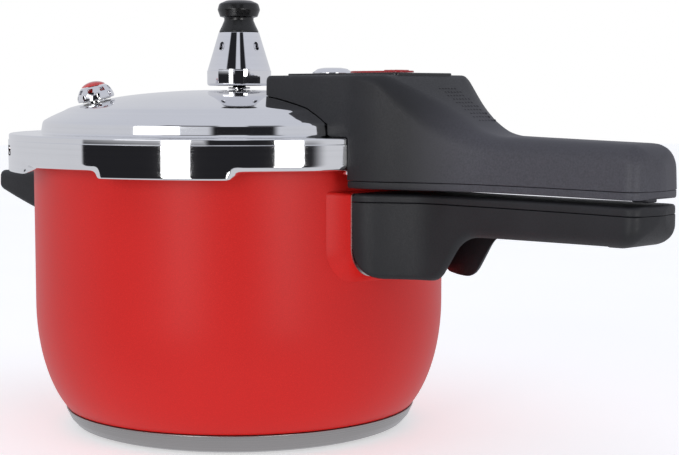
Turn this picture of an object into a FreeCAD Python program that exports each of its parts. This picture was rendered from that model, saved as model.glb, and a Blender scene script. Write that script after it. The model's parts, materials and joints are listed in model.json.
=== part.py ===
import FreeCAD, Part
import math
import os

V = FreeCAD.Vector
os.makedirs("parts", exist_ok=True)

# Driving dimensions, mm.  Z up, base resting on z = 0, long handles along +X.
POT_R = 100.0            # outer radius of the straight wall
WALL = 1.5
CURVE_TOP = 60.7         # height where the lower curve starts
CURVE_A = 28.4           # half axes of the elliptical lower curve
CURVE_B = 58.7
RIM_LOW = 130.4          # underside of the rim lugs
RIM_TOP = 133.2
RIM_R = 103.4            # full rim ring
LUG_R = 108.4            # tip of the pot lugs
POT_LUG_DEG = 24.0
LID_LUG_DEG = 25.0
LUG_COUNT = 6
SKIRT_R = 111.9          # outside of the lid skirt
LID_T = 1.2
TAB_LOW = 125.1          # bottom of the straight skirt tabs
LUG_LOW = 128.1          # bottom of the bent-in skirt lugs
LUG_IN = 104.4           # inner edge of the bent-in skirt lugs
DOME_TOP = 163.6
VALVE_DEG = -120.0       # safety valve and skirt window
VALVE_R = 70.0
FLOAT_X = 64.6           # pressure indicator
GRIP_END = 244.0         # both grips end here
LID_GRIP_LOW = 121.1
LID_SEAM = 124.4
POT_GRIP_TOP = 118.7
POT_SEAM = 114.9
POT_GRIP_LOW = 101.0
BLOCK_TOP = 170.0
GAP = 0.4                # clearance of plastic parts to the lid


def poly_wire(points):
    """Closed wire from (u, v, corner radius) given in the XZ plane."""
    count = len(points)
    edges = []
    starts = []
    ends = []
    arcs = []
    for i in range(count):
        u, v, r = points[i]
        p = V(u, 0, v)
        a = V(points[i - 1][0], 0, points[i - 1][1])
        b = V(points[(i + 1) % count][0], 0, points[(i + 1) % count][1])
        da = (a - p).normalize()
        db = (b - p).normalize()
        if r <= 0:
            starts.append(p)
            ends.append(p)
            arcs.append(None)
            continue
        half = da.getAngle(db) / 2.0
        cut = r / math.tan(half)
        p1 = p + da * cut
        p2 = p + db * cut
        mid = (da + db).normalize()
        centre = p + mid * (r / math.sin(half))
        top = centre - mid * r
        starts.append(p1)
        ends.append(p2)
        arcs.append(Part.Arc(p1, top, p2).toShape())
    for i in range(count):
        if arcs[i] is not None:
            edges.append(arcs[i])
        nxt = starts[(i + 1) % count]
        if (nxt - ends[i]).Length > 1e-6:
            edges.append(Part.makeLine(ends[i], nxt))
    return Part.Wire(Part.__sortEdges__(edges))


def ring(points):
    """Solid of revolution about Z from (radius, height, corner radius)."""
    face = Part.Face(poly_wire(points))
    return face.revolve(V(0, 0, 0), V(0, 0, 1), 360)


def side(points, half):
    """Side outline in XZ, extruded to +-half in Y."""
    face = Part.Face(poly_wire(points))
    face.translate(V(0, -half, 0))
    return face.extrude(V(0, 2 * half, 0))


def curve(points):
    line = Part.BSplineCurve()
    line.interpolate([V(*p) for p in points])
    return line.toShape()


def plan(stations, end, low, high, bulge=2.5, inset=0.0):
    """Symmetric plan outline through (x, half width), closed by a soft end arc."""
    pts = [(x, -(w - inset)) for x, w in stations]
    pts[0] = (pts[0][0] + inset, pts[0][1])
    last = end - bulge - inset
    pts[-1] = (last, pts[-1][1])
    near = curve([(x, y, low) for x, y in pts])
    far = curve([(x, -y, low) for x, y in pts])
    first = Part.makeLine(V(pts[0][0], pts[0][1], low), V(pts[0][0], -pts[0][1], low))
    tip = Part.Arc(V(last, pts[-1][1], low), V(end - inset, 0, low), V(last, -pts[-1][1], low)).toShape()
    face = Part.Face(Part.Wire(Part.__sortEdges__([near, tip, far, first])))
    return face.extrude(V(0, 0, high - low))


def cyl(r, low, high, x=0.0, y=0.0):
    return Part.makeCylinder(r, high - low, V(x, y, low))


def box(x0, x1, y0, y1, z0, z1):
    return Part.makeBox(x1 - x0, y1 - y0, z1 - z0, V(x0, y0, z0))


def sector(r0, r1, z0, z1, centre, width):
    """Part of a ring centred on an angle, with its bottom flat."""
    face = Part.Face(poly_wire([(r0, z0, 0), (r1, z0, 0), (r1, z1, 0), (r0, z1, 0)]))
    body = face.revolve(V(0, 0, 0), V(0, 0, 1), width)
    body.rotate(V(0, 0, 0), V(0, 0, 1), centre - width / 2.0)
    return body


def upright(edge):
    a = edge.Vertexes[0].Point
    b = edge.Vertexes[-1].Point
    return abs(a.x - b.x) < 1e-4 and abs(a.y - b.y) < 1e-4 and abs(a.z - b.z) > 0.3


def from_axis(edge):
    return math.hypot(edge.Vertexes[0].X, edge.Vertexes[0].Y)


def rounded(shape, radius, keep):
    return shape.makeFillet(radius, [e for e in shape.Edges if keep(e)])


def save(shape, name):
    shape = shape.removeSplitter()
    if len(shape.Solids) == 1:
        shape = shape.Solids[0]
    shape.exportStep("parts/" + name + ".step")
    box3 = shape.BoundBox
    print(name, shape.isValid(), len(shape.Solids), round(shape.Volume),
          [round(v, 1) for v in (box3.XMin, box3.XMax, box3.YMin, box3.YMax, box3.ZMin, box3.ZMax)])


def pot_radius(z, t=0.0):
    """Outer radius of the pot (or the surface t further in) at a height."""
    if z >= CURVE_TOP:
        return POT_R - t
    u = (CURVE_TOP - z) / (CURVE_B - t)
    return POT_R - CURVE_A + (CURVE_A - t) * math.sqrt(max(0.0, 1 - u * u))


def revolve_edges(edges):
    face = Part.Face(Part.Wire(Part.__sortEdges__(edges)))
    return face.revolve(V(0, 0, 0), V(0, 0, 1), 360)


def line2(a, b):
    return Part.makeLine(V(a[0], 0, a[1]), V(b[0], 0, b[1]))


def curve2(points):
    return curve([(r, 0, z) for r, z in points])


# ---------------------------------------------------------------- pot
def lower_curve(t, low):
    heights = [low + (CURVE_TOP - low) * k / 8.0 for k in range(9)]
    return [(pot_radius(z, t), z) for z in heights]


def make_pot_body():
    outer = lower_curve(0.0, 10.0)
    foot = [(72.0, 5.6), (78.0, 6.3), (82.4, 7.8), outer[0]]
    inner = lower_curve(WALL, 12.0)
    floor = [(72.0, 7.4), (77.0, 8.0), (81.4, 9.6), inner[0]]
    edges = [
        line2((0, 5.6), foot[0]), curve2(foot), curve2(outer),
        line2(outer[-1], (POT_R, RIM_LOW)), line2((POT_R, RIM_LOW), (RIM_R, RIM_LOW)),
        line2((RIM_R, RIM_LOW), (RIM_R, RIM_TOP)), line2((RIM_R, RIM_TOP), (POT_R - WALL, RIM_TOP)),
        line2((POT_R - WALL, RIM_TOP), inner[-1]), curve2(inner), curve2(floor),
        line2(floor[0], (0, 7.4)), line2((0, 7.4), (0, 5.6)),
    ]
    pot = revolve_edges(edges)
    for k in range(LUG_COUNT):
        lug = sector(RIM_R - 1.5, LUG_R, RIM_LOW, RIM_TOP, 30 + 60 * k, POT_LUG_DEG)
        lug = rounded(lug, 2.4, lambda e: upright(e) and from_axis(e) > LUG_R - 1)
        pot = pot.fuse(lug)
    return pot


def make_base_cap():
    outer = [(77.6, 0.0), (81.0, 1.2), (84.0, 4.4), (86.4, 9.3)]
    inner = [(76.2, 1.0), (80.2, 2.2), (82.9, 4.9), (85.3, 9.3)]
    edges = [
        line2((0, 0), outer[0]), curve2(outer), line2(outer[-1], inner[-1]), curve2(inner),
        line2(inner[0], (0, 1.0)), line2((0, 1.0), (0, 0)),
    ]
    cap = revolve_edges(edges)
    keep = revolve_edges([
        line2((0, 5.5), (72.0, 5.5)),
        curve2([(72.0, 5.5), (78.2, 6.2), (82.6, 7.7), (pot_radius(10.0) + 0.1, 10.0)]),
        line2((pot_radius(10.0) + 0.1, 10.0), (0, 10.0)), line2((0, 10.0), (0, 5.5)),
    ])
    return cap.cut(keep)


def make_pot_bracket():
    """Painted steel saddle between the wall and the handle root, flaring onto the wall."""
    lofts = []
    for x, half, low, high, r in ((92.0, 36.0, 77.0, 119.0, 15.0), (106.0, 30.0, 81.5, 118.4, 13.0)):
        pts = [(-half, high, 2.0), (half, high, 2.0), (half, low, r), (-half, low, r)]
        wire = poly_wire(pts)
        wire.rotate(V(0, 0, 0), V(0, 0, 1), 90)
        wire.translate(V(x, 0, 0))
        lofts.append(wire)
    body = Part.makeLoft(lofts, True, True)
    body = body.cut(cyl(POT_R + 0.05, 60, 130))
    body = body.cut(box(99, 120, -18, 18, 88, 112))
    return body.cut(cyl(2.2, -40, 40).copy().rotated(V(0, 0, 0), V(0, 1, 0), 90).translated(V(100, 0, 100)))


def make_pot_handle():
    stations = [(100.0, 30.0), (106.5, 30.0), (113.0, 28.0), (122.0, 21.5), (134.0, 15.2), (150.0, 13.8),
                (180.0, 13.8), (215.0, 14.6), (239.0, 15.6)]
    outline = plan(stations, GRIP_END, 70, 130)
    outline = rounded(outline, 5.0, lambda e: upright(e) and e.Vertexes[0].X > 200)
    profile = side([(106.15, POT_SEAM, 0), (106.15, 81.5, 12), (140.5, 81.5, 8), (153.5, POT_GRIP_LOW, 14),
                    (GRIP_END + 1, POT_GRIP_LOW + 1.4, 13), (GRIP_END + 1, POT_SEAM, 0)], 60)
    body = outline.common(profile)
    body = body.cut(box(60, 106.15, -60, 60, 60, 140))
    hollow = plan([(100.0, 27.0), (106.5, 27.0), (113.0, 25.0), (122.0, 18.5), (134.0, 12.2), (150.0, 10.8),
                   (180.0, 10.8), (215.0, 11.6), (228.0, 12.0)], 226.0, 70, 130)
    core = side([(113, POT_SEAM - 3.0, 2), (113, 60, 0), (215, 60, 0), (226, POT_SEAM - 3.0, 2)], 60)
    body = body.cut(hollow.common(core))
    stem = Part.makeCylinder(6.0, 30, V(108, 0, 100), V(1, 0, 0))
    body = body.fuse(stem)
    body = body.cut(Part.makeCylinder(2.3, 60, V(100, 0, 100), V(1, 0, 0)))
    return body.cut(Part.makeCylinder(4.6, 60, V(130, 0, 100), V(1, 0, 0)))


def make_pot_handle_top():
    stations = [(106.2, 30.0), (113.0, 28.2), (122.0, 21.7), (134.0, 15.4), (150.0, 13.9),
                (180.0, 13.9), (215.0, 14.7), (239.0, 15.7)]
    plate = plan(stations, GRIP_END, POT_SEAM, POT_GRIP_TOP)
    plate = rounded(plate, 5.0, lambda e: upright(e) and e.Vertexes[0].X > 200)
    plate = rounded(plate, 1.6, lambda e: e.BoundBox.ZMin > POT_GRIP_TOP - 0.05 and e.BoundBox.XMax > 120)
    return plate


def make_pot_screw():
    head = Part.makeCylinder(4.2, 3.0, V(130.2, 0, 100), V(1, 0, 0))
    shank = Part.makeCylinder(2.1, 30.2, V(100.4, 0, 100), V(1, 0, 0))
    slot = box(132.0, 134.0, -0.6, 0.6, 97.0, 103.0)
    return head.fuse(shank).cut(slot)


def make_helper_bracket():
    plate = box(-112, -80, -22, 22, 101.5, 116.5)
    plate = plate.common(cyl(103.0, 90, 130))
    plate = plate.cut(cyl(POT_R + 0.05, 90, 130))
    tongue = box(-124, -101.5, -12, 12, 108.2, 110.6)
    bracket = plate.fuse(tongue)
    return bracket.cut(cyl(2.2, 90, 130, -118, 0))


def make_helper_handle():
    profile = side([(-148, 120.6, 3), (-148, 111.0, 4), (-116, 101.0, 6), (-90, 99.0, 0), (-90, 120.6, 0)], 60)
    w = 44.0
    corners = [(-148.0, -w, 5), (-148.0, w, 5), (-92.0, w - 3, 0), (-92.0, -w + 3, 0)]
    wire = poly_wire(corners)
    wire.rotate(V(0, 0, 0), V(1, 0, 0), 90)
    face = Part.Face(wire)
    face.translate(V(0, 0, 90 - face.BoundBox.ZMin))
    outline = face.extrude(V(0, 0, 40))
    body = outline.common(profile)
    body = body.cut(cyl(POT_R + 0.3, 90, 130))
    body = body.cut(box(-112, -80, -22.3, 22.3, 101.2, 116.8).common(cyl(103.3, 90, 130)))
    body = body.cut(box(-124.2, -100, -12.2, 12.2, 108.0, 110.8))
    body = body.cut(cyl(2.2, 90, 118.3, -118, 0))
    return body.cut(cyl(4.6, 90, 105.0, -118, 0))


def make_helper_screw():
    head = cyl(4.2, 102.2, 104.9, -118, 0)
    shank = cyl(2.1, 104.9, 118.0, -118, 0)
    slot = box(-121, -115, -0.6, 0.6, 102.0, 103.4)
    return head.fuse(shank).cut(slot)


# ---------------------------------------------------------------- lid
DOME = [(0.0, DOME_TOP), (27.0, DOME_TOP - 0.5), (55.0, 160.7), (79.0, 155.9), (86.0, 153.2), (91.5, 150.7),
        (94.6, 149.0)]


def dome_height(r):
    """Height of the dome's outer face at a radius."""
    line = Part.BSplineCurve()
    line.interpolate([V(a, 0, b) for a, b in DOME])
    low = line.FirstParameter
    high = line.LastParameter
    for step in range(40):
        mid = (low + high) / 2.0
        if line.value(mid).x < r:
            low = mid
        else:
            high = mid
    return line.value(low).z


def lid_profile(t):
    """Edges of the lid's outer face, offset inwards by t, from the axis to the skirt."""
    dome = []
    for i, (r, z) in enumerate(DOME):
        a = DOME[max(i - 1, 0)]
        b = DOME[min(i + 1, len(DOME) - 1)]
        slope = math.atan2(b[1] - a[1], b[0] - a[0]) if i else 0.0
        dome.append((r + t * math.sin(slope), z - t * math.cos(slope)))
    wall = 96.6 - t
    flange = 142.8 - t
    edges = [curve2(dome)]
    last = dome[-1]
    step = (wall - 1.5, last[1] - 0.4)
    edges.append(line2(last, step))
    foot = 2.0 + t
    start = (wall, flange + foot)
    mid = (wall + foot * (1 - math.sqrt(0.5)), flange + foot * (1 - math.sqrt(0.5)))
    stop = (wall + foot, flange)
    edges.append(line2(step, start))
    edges.append(Part.Arc(V(start[0], 0, start[1]), V(mid[0], 0, mid[1]), V(stop[0], 0, stop[1])).toShape())
    edge = SKIRT_R - t
    big = 1.8 - t
    c = (edge - big, flange - big)
    edges.append(line2(stop, (c[0], flange)))
    q = math.sqrt(0.5)
    edges.append(Part.Arc(V(c[0], 0, flange), V(c[0] + big * q, 0, c[1] + big * q), V(edge, 0, c[1])).toShape())
    return edges, (edge, c[1]), dome[0]


def lid_solid(t, low):
    edges, skirt, top = lid_profile(t)
    edges = edges + [line2(skirt, (skirt[0], low)), line2((skirt[0], low), (0, low)), line2((0, low), top)]
    return revolve_edges(edges)


def make_lid_shell():
    shell = lid_solid(0.0, TAB_LOW).cut(lid_solid(LID_T, TAB_LOW - 5))
    for k in range(LUG_COUNT):
        angle = 30 + 60 * k
        cut = sector(SKIRT_R - 4, SKIRT_R + 2, TAB_LOW - 2, LUG_LOW + 1.6, angle, LID_LUG_DEG)
        shell = shell.cut(cut)
        bend = Part.Face(poly_wire([
            (SKIRT_R, LUG_LOW + 1.6, 0), (SKIRT_R, LUG_LOW, 1.5), (LUG_IN, LUG_LOW, 0.5),
            (LUG_IN, LUG_LOW + 1.3, 0.4), (SKIRT_R - LID_T, LUG_LOW + 1.3, 0.4),
            (SKIRT_R - LID_T, LUG_LOW + 1.6, 0),
        ]))
        lug = bend.revolve(V(0, 0, 0), V(0, 0, 1), LID_LUG_DEG)
        lug.rotate(V(0, 0, 0), V(0, 0, 1), angle - LID_LUG_DEG / 2.0)
        shell = shell.fuse(lug)
    window = sector(SKIRT_R - 4, SKIRT_R + 4, 132.6, 137.4, VALVE_DEG, 8.2)
    shell = shell.cut(rounded(window, 2.0, lambda e: radial(e)))
    shell = shell.cut(cyl(3.6, 100, 200))
    shell = shell.cut(cyl(3.4, 100, 200, FLOAT_X, 0))
    return shell.cut(valve_place(cyl(5.2, -20, 20)))


def radial(edge):
    a = edge.Vertexes[0].Point
    b = edge.Vertexes[-1].Point
    return abs(a.z - b.z) < 1e-4 and abs(math.hypot(a.x, a.y) - math.hypot(b.x, b.y)) > 3


def valve_place(shape):
    """Move a shape built on the Z axis onto the dome at the safety valve, square to the surface."""
    tilt = math.degrees(math.atan2(dome_height(VALVE_R - 4) - dome_height(VALVE_R + 4), 8.0))
    shape = shape.copy()
    shape.rotate(V(0, 0, 0), V(0, 1, 0), tilt)
    shape.translate(V(VALVE_R, 0, dome_height(VALVE_R) + 0.35))
    shape.rotate(V(0, 0, 0), V(0, 0, 1), VALVE_DEG)
    return shape


def make_gasket():
    return ring([(98.9, 141.2, 0.6), (98.9, 133.6, 0.6), (104.5, 133.6, 0.8), (104.5, 136.0, 0.6),
                 (110.2, 136.0, 1.0), (110.2, 139.4, 1.0), (108.6, 141.2, 0.8)])


def make_vent_pipe():
    pipe = ring([(0, 149.0, 0), (3.4, 149.0, 0.3), (3.4, 161.9, 0), (3.4, 163.9, 0), (5.4, 163.9, 0.3),
                 (5.4, 164.9, 0.3), (3.2, 164.9, 0.2), (3.2, 176.0, 0.6), (0, 176.0, 0)])
    return pipe.cut(cyl(1.5, 140, 180))


def hexagon(across, low, high):
    r = across / math.sqrt(3)
    pts = [V(r * math.cos(math.radians(60 * k)), r * math.sin(math.radians(60 * k)), low) for k in range(7)]
    body = Part.Face(Part.makePolygon(pts)).extrude(V(0, 0, high - low))
    return body.common(ring([(0, low, 0), (across * 0.54, low, 0), (across * 0.575, low + 1, 0),
                             (across * 0.575, high - 1, 0), (across * 0.54, high, 0), (0, high, 0)]))


def make_vent_nut():
    return hexagon(14.0, 157.4, 161.9).cut(cyl(3.45, 150, 170))


def make_vent_strainer():
    cup = ring([(0, 143.0, 0), (6.5, 143.0, 2.0), (6.5, 156.0, 0.3), (3.5, 156.0, 0.3), (3.5, 154.8, 0.3),
                (5.5, 154.8, 0.5), (5.5, 144.0, 1.2), (0, 144.0, 0)])
    for k in range(8):
        hole = Part.makeCylinder(0.9, 10, V(0, 0, 150), V(1, 0, 0))
        hole.rotate(V(0, 0, 0), V(0, 0, 1), 45 * k)
        low = hole.translated(V(0, 0, -3.2))
        cup = cup.cut(hole).cut(low)
    return cup


LID_PLAN = [(47.6, 28.0), (66.0, 28.6), (84.0, 30.0), (98.0, 32.6), (109.0, 34.2), (120.0, 32.6),
            (134.0, 27.0), (150.0, 20.6), (168.0, 16.6), (190.0, 15.2), (215.0, 15.5), (241.0, 16.4)]


def block_side(low):
    return [(47.0, low, 0), (47.0, BLOCK_TOP, 3.0), (122.0, BLOCK_TOP, 4.0), (163.0, 144.4, 34.0),
            (GRIP_END + 1, 142.4, 10.0), (GRIP_END + 1, low, 0)]


def make_lid_handle():
    outline = plan(LID_PLAN, GRIP_END, 110, 180)
    outline = rounded(outline, 5.0, lambda e: upright(e) and e.Vertexes[0].X > 200)
    outline = rounded(outline, 3.0, lambda e: upright(e) and e.Vertexes[0].X < 60)
    body = outline.common(side(block_side(LID_SEAM), 60))
    inner = plan(LID_PLAN, GRIP_END - 2.0, 110, 180, inset=3.2)
    hollow = side([(40, 110, 0), (40, BLOCK_TOP - 4.2, 0), (121.0, BLOCK_TOP - 4.2, 3), (161.5, 140.9, 34),
                   (237, 139.2, 6), (237, 110, 0)], 60)
    body = body.cut(inner.common(hollow).common(box(51.0, 250, -60, 60, 100, 200)))
    for x, high in ((152.0, 147.8), (222.0, 141.0)):
        body = body.fuse(cyl(4.6, LID_SEAM, high, x, 0))
        body = body.cut(cyl(1.9, LID_SEAM - 1, 138, x, 0))
    for y in (-5.5, 5.5):
        body = body.cut(cyl(1.9, 160, 171, 116.0, y)).cut(cyl(3.5, 166.6, 171, 116.0, y))
    body = body.cut(lid_solid(-GAP, 100))
    body = body.cut(cyl(4.4, 100, 200, FLOAT_X, 0))
    body = body.cut(box(84, 108.6, -3.2, 3.2, 160, 180))
    return body.cut(top_recess(0.2, BLOCK_TOP - 1.0))


def top_recess(grow, low):
    plate = box(53.0 - grow, 122.0 + grow, -19 - grow, 19 + grow, low, BLOCK_TOP + 0.9)
    return rounded(plate, 2.8 + grow, upright)


def make_top_plate():
    plate = top_recess(0.0, BLOCK_TOP - 1.0)
    plate = rounded(plate, 0.5, lambda e: e.BoundBox.ZMin > BLOCK_TOP + 0.85)
    plate = plate.cut(cyl(4.4, 100, 200, FLOAT_X, 0))
    return plate.cut(box(84, 108.6, -3.2, 3.2, 160, 180))


def make_lid_handle_base():
    plate = plan(LID_PLAN, GRIP_END, LID_GRIP_LOW, LID_SEAM)
    plate = rounded(plate, 5.0, lambda e: upright(e) and e.Vertexes[0].X > 200)
    plate = plate.cut(cyl(SKIRT_R + GAP, 100, 160))
    foot = rounded(box(231.5, 239.5, -3.6, 3.6, LID_GRIP_LOW - 1.4, LID_GRIP_LOW + 1), 1.5, upright)
    plate = plate.fuse(foot)
    for x in (152.0, 222.0):
        plate = plate.cut(cyl(2.2, 110, 140, x, 0))
        plate = plate.cut(cyl(4.2, 110, LID_GRIP_LOW + 1.6, x, 0))
    return plate


def make_lid_handle_screws():
    screws = []
    for x in (152.0, 222.0):
        head = cyl(3.9, LID_GRIP_LOW + 0.1, LID_GRIP_LOW + 1.5, x, 0)
        shank = cyl(1.8, LID_GRIP_LOW + 1.5, 136.0, x, 0)
        slot = box(x - 3.0, x + 3.0, -0.5, 0.5, LID_GRIP_LOW - 0.2, LID_GRIP_LOW + 0.8)
        screws.append(head.fuse(shank).cut(slot))
    return Part.makeCompound(screws)


def make_lid_bracket():
    """Steel channel welded to the dome inside the handle, reaching back over the flange."""
    body = side([(74, 140, 0), (74, 163.5, 3), (123, 163.5, 4), (131, 152, 3), (131, 136, 3), (120, 130, 3),
                 (113.6, 130, 0), (113.6, 140, 0)], 11)
    body = body.cut(side([(60, 100, 0), (60, 161.5, 0), (150, 161.5, 0), (150, 100, 0)], 9))
    for y in (-5.5, 5.5):
        body = body.cut(cyl(1.85, 155, 170, 116.0, y))
    return body.cut(lid_solid(-0.05, 100))


def make_bracket_screws():
    screws = []
    for y in (-5.5, 5.5):
        head = cyl(3.3, 166.7, 167.8, 116.0, y)
        shank = cyl(1.8, 158.5, 166.7, 116.0, y)
        screws.append(head.fuse(shank).cut(box(113.5, 118.5, y - 0.5, y + 0.5, 167.2, 168.0)))
    return Part.makeCompound(screws)


def make_float_bezel():
    bezel = ring([(2.9, BLOCK_TOP + 0.95, 0), (9.4, BLOCK_TOP + 0.95, 0), (9.4, 171.6, 0.5), (6.2, 173.4, 1.6),
                  (2.9, 173.7, 0.4)])
    tube = ring([(2.9, 165.5, 0), (4.2, 165.5, 0), (4.2, 171.0, 0), (2.9, 171.0, 0)])
    bezel = bezel.fuse(tube)
    bezel.translate(V(FLOAT_X, 0, 0))
    return bezel


def make_float_pin():
    pin = ring([(0, 148.5, 0), (4.6, 148.5, 0.5), (4.6, 150.5, 0.5), (2.7, 150.5, 0),
                (2.7, 172.9, 0.6), (0, 172.9, 0)])
    pin.translate(V(FLOAT_X, 0, 0))
    return pin


def make_float_seal():
    seal = ring([(2.8, 150.6, 0), (4.4, 150.6, 0.4), (4.4, 152.2, 0.4), (2.8, 152.2, 0)])
    seal.translate(V(FLOAT_X, 0, 0))
    return seal


def make_lock_slider():
    """Red slide button with its stem and the tongue it carries inside the handle."""
    pad = rounded(box(79.5, 112, -6.5, 6.5, BLOCK_TOP + 1.2, 172.0), 5.0, upright)
    pad = rounded(pad, 0.5, lambda e: e.BoundBox.ZMin > 171.95)
    stem = box(84.6, 102, -2.9, 2.9, 164.4, BLOCK_TOP + 1.3)
    grips = [box(x, x + 1.2, -5, 5, 171.7, 172.4) for x in (101.0, 104.0, 107.0)]
    body = pad.fuse(stem)
    for grip in grips:
        body = body.fuse(grip)
    return body


def make_valve_nut():
    return valve_place(hexagon(13.0, -5.7, -2.2).cut(cyl(4.55, -10, 0)))


def make_valve_seal():
    return valve_place(ring([(4.6, -0.2, 0), (6.8, -0.2, 0.1), (6.8, 0.5, 0.1), (4.6, 0.5, 0)]))


def make_valve_base():
    """Threaded chrome stem and collar which carries the perforated cover."""
    base = ring([(2.2, -7.5, 0), (4.5, -7.5, 0.4), (4.5, 0.6, 0), (8.7, 0.6, 0.2), (8.7, 1.1, 0.2),
                 (5.6, 1.1, 0.2), (5.6, 3.6, 0.2), (2.2, 3.6, 0.2)])
    return valve_place(base)


def valve_dome(r, low, high):
    """Points of a dome section from its foot to its cut-off top."""
    pts = []
    for k in range(7):
        z = low + (high - low) * k / 6.0
        pts.append((math.sqrt(r * r - (z - 0.5) ** 2), z))
    return pts


def make_valve_cover():
    """Half-round chrome cover with two rows of windows, open at the top for the red cap."""
    outer = valve_dome(8.9, 1.15, 7.0)
    inner = valve_dome(7.8, 1.15, 6.2)
    cover = revolve_edges([
        curve2(outer), line2(outer[-1], inner[-1]), curve2(inner), line2(inner[0], outer[0]),
    ])
    for k in range(8):
        low = box(5, 11, -1.05, 1.05, 1.8, 3.6).rotated(V(0, 0, 0), V(0, 0, 1), 45 * k)
        high = box(4, 11, -1.25, 1.25, 4.4, 6.2).rotated(V(0, 0, 0), V(0, 0, 1), 45 * k + 22.5)
        cover = cover.cut(low).cut(high)
    return valve_place(cover)


def make_valve_core():
    """Sprung plug whose red cap closes the top of the cover."""
    core = ring([(0, -6.8, 0), (1.9, -6.8, 0.3), (1.9, 3.8, 0), (4.3, 3.8, 0.3), (4.3, 4.8, 0.3),
                 (2.6, 5.4, 0.2), (2.6, 7.3, 0), (5.7, 7.3, 0.1), (4.7, 8.3, 1.2), (2.4, 9.25, 3.0),
                 (0, 9.4, 0)])
    return valve_place(core)


# ---------------------------------------------------------------- weight
def make_weight_body():
    body = ring([(0, 165.5, 0), (15.7, 165.5, 1.4), (15.7, 173.0, 1.0), (9.9, 191.6, 0), (0, 191.6, 0)])
    bore = ring([(0, 160, 0), (9.0, 160, 0), (9.0, 171.0, 1.5), (5.2, 176.5, 0), (5.2, 187.0, 0),
                 (0, 187.0, 0)])
    body = body.cut(bore)
    for k in range(4):
        a = math.radians(3.0 + 90.0 * k)
        hole = Part.makeCylinder(1.35, 20, V(0, 0, 0), V(1, 0, 0.12))
        slot = hole.fuse(hole.translated(V(0, 0, 1.6))).fuse(box(0, 19, -1.35, 1.35, 0.0, 1.6))
        slot.translate(V(0, 0, 182.8))
        slot.rotate(V(0, 0, 0), V(0, 0, 1), math.degrees(a))
        body = body.cut(slot)
    return body.cut(cyl(1.7, 180, 195))


def make_weight_cap():
    cap = ring([(0, 191.7, 0), (9.8, 191.7, 0.3), (7.2, 197.6, 1.0), (7.2, 198.9, 0.5), (9.4, 199.3, 0.5),
                (10.4, 203.4, 1.6), (8.4, 206.2, 2.5), (0, 207.3, 0)])
    return cap.cut(cyl(1.7, 190, 203))


def make_weight_screw():
    return ring([(0, 184.0, 0), (3.4, 184.0, 0.5), (3.4, 186.8, 0.3), (1.6, 186.8, 0),
                 (1.6, 202.0, 0.3), (0, 202.0, 0)])


def make_weight_needle():
    return ring([(0, 174.8, 0), (1.3, 174.8, 0.4), (1.3, 176.2, 0), (4.0, 176.2, 0.4),
                 (4.0, 183.6, 0.6), (0, 183.6, 0)])


MAKERS = [
    ("pot_body", make_pot_body),
    ("base_cap", make_base_cap),
    ("pot_bracket", make_pot_bracket),
    ("pot_handle", make_pot_handle),
    ("pot_handle_top", make_pot_handle_top),
    ("pot_handle_screw", make_pot_screw),
    ("helper_bracket", make_helper_bracket),
    ("helper_handle", make_helper_handle),
    ("helper_screw", make_helper_screw),
    ("lid_shell", make_lid_shell),
    ("gasket", make_gasket),
    ("vent_pipe", make_vent_pipe),
    ("vent_nut", make_vent_nut),
    ("vent_strainer", make_vent_strainer),
    ("lid_handle", make_lid_handle),
    ("top_plate", make_top_plate),
    ("lid_handle_base", make_lid_handle_base),
    ("lid_handle_screws", make_lid_handle_screws),
    ("lid_bracket", make_lid_bracket),
    ("bracket_screws", make_bracket_screws),
    ("float_bezel", make_float_bezel),
    ("float_pin", make_float_pin),
    ("float_seal", make_float_seal),
    ("lock_slider", make_lock_slider),
    ("valve_nut", make_valve_nut),
    ("valve_seal", make_valve_seal),
    ("valve_base", make_valve_base),
    ("valve_cover", make_valve_cover),
    ("valve_core", make_valve_core),
    ("weight_body", make_weight_body),
    ("weight_cap", make_weight_cap),
    ("weight_screw", make_weight_screw),
    ("weight_needle", make_weight_needle),
]

save(cyl(72.0, 1.05, 5.5), "base_core")
for name, maker in MAKERS:
    save(maker(), name)
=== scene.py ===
import json
import math

import bmesh
import bpy
from mathutils import Matrix, Vector


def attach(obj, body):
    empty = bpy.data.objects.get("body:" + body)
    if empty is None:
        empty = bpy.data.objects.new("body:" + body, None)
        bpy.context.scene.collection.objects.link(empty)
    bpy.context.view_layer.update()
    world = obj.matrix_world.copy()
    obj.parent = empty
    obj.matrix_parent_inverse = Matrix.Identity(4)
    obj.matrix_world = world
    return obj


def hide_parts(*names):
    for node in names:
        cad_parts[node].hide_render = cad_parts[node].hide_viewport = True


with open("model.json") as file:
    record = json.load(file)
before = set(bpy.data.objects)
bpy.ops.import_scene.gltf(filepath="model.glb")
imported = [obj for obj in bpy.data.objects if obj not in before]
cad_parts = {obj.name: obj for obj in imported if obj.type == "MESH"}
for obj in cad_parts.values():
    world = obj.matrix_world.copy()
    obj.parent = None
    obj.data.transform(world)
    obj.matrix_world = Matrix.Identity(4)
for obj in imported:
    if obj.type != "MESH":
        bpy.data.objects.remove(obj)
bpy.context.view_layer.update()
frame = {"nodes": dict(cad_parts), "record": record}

SCENE = bpy.context.scene
NODES = frame["nodes"]
MM = 0.001


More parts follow.
